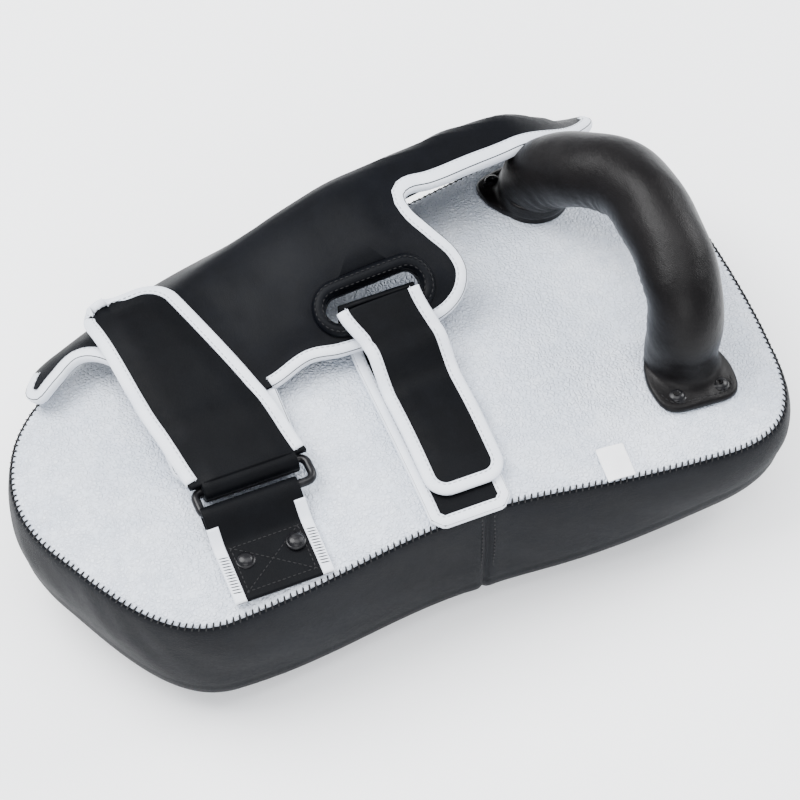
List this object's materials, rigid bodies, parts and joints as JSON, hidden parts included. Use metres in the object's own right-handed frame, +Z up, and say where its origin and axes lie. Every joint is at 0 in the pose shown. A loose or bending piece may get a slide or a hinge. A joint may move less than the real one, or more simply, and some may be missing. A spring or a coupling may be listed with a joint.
{
  "type": "thai pad",
  "caption": "Thick padded kick shield for the forearm, with a padded cuff, a ring strap, a slotted wrist strap and an arched grip handle on its white back.",
  "frame": {"origin": "middle of the flat striking face that the pad rests on", "axes": "+X from the elbow end to the handle end along the pad's length, +Y from the strap side to the cuff's sewn side, +Z up from the striking face to the back"},
  "size_m": [0.3895, 0.2196, 0.1538],
  "materials": {
    "black_leather": "semi-gloss pebbled synthetic leather",
    "white_leather": "white pebble-grained synthetic leather",
    "cuff_leather": "smooth satin synthetic leather over soft padding",
    "strap_leather": "satin synthetic leather, doubled and stitched",
    "handle_leather": "soft satin leather, gathered at the bends",
    "white_binding": "smooth white binding tape, folded over the edge and stitched",
    "lining": "black woven lining",
    "dense_foam": "closed-cell foam",
    "soft_foam": "open-cell foam",
    "cuff_foam": "soft foam sheet",
    "fibre_board": "pressed fibre stiffener",
    "black_piping": "rolled leather edging",
    "black_wire": "black coated steel wire",
    "black_rivet": "black domed rivet",
    "bolt_steel": "black coated bolt",
    "webbing": "rolled webbing core",
    "label_cloth": "blank woven label"
  },
  "bodies": {
    "pad": {"striking_face": "black_leather", "gusset_elbow": "black_leather", "gusset_handle": "black_leather", "back_panel": "white_leather", "backing_board": "fibre_board", "foam_core": "dense_foam", "foam_back_layer": "soft_foam", "foam_top_layer": "soft_foam", "anchor_strap": "strap_leather", "rivet_elbow": "black_rivet", "rivet_handle": "black_rivet", "forearm_tongue": "strap_leather", "wrist_strap_run": "strap_leather", "handle_tab_near": "handle_leather", "handle_tab_far": "handle_leather", "bolt_near_elbow": "bolt_steel", "bolt_near_end": "bolt_steel", "bolt_far_elbow": "bolt_steel", "bolt_far_end": "bolt_steel", "label_tab": "label_cloth"},
    "cuff": {"cuff_outer": "cuff_leather", "cuff_padding": "cuff_foam", "cuff_lining": "lining", "cuff_binding": "white_binding", "slot_rim": "black_piping"},
    "strap_ring": {"ring": "black_wire"},
    "forearm_strap": {"forearm_flap": "strap_leather", "forearm_flap_binding": "white_binding"},
    "wrist_strap": {"wrist_flap": "strap_leather", "wrist_flap_binding": "white_binding"},
    "handle": {"handle_cover": "handle_leather", "handle_padding": "cuff_foam", "handle_core": "webbing"}
  },
  "joints": [
    {"name": "cuff_open", "type": "hinge", "parent": "pad", "child": "cuff", "pos_m": [0, 0.1085, 0.087], "axis": [0.9889, 0.1483, 0], "range_deg": [-20, 0], "deforming": ["forearm_tongue", "wrist_strap_run"]},
    {"name": "ring_lift", "type": "hinge", "parent": "pad", "child": "strap_ring", "pos_m": [-0.087, -0.05, 0.0976], "axis": [1, 0, 0], "range_deg": [0, 10]},
    {"name": "forearm_flap_peel", "type": "hinge", "parent": "strap_ring", "child": "forearm_strap", "pos_m": [-0.087, -0.036, 0.0976], "axis": [1, 0, 0], "range_deg": [0, 105]},
    {"name": "wrist_flap_peel", "type": "hinge", "parent": "cuff", "child": "wrist_strap", "pos_m": [0.005, 0.0237, 0.1165], "axis": [-1, 0, 0], "range_deg": [0, 110]},
    {"name": "handle_lean", "type": "hinge", "parent": "pad", "child": "handle", "pos_m": [0.1433, -0.0438, 0.093], "axis": [-0.2233, 0.9747, 0], "range_deg": [-12, 12], "stiffness_Nm_per_rad": 2}
  ],
  "couplings": [
    {"joint": "forearm_flap_peel", "follows": "cuff_open", "ratio": -5}
  ]
}
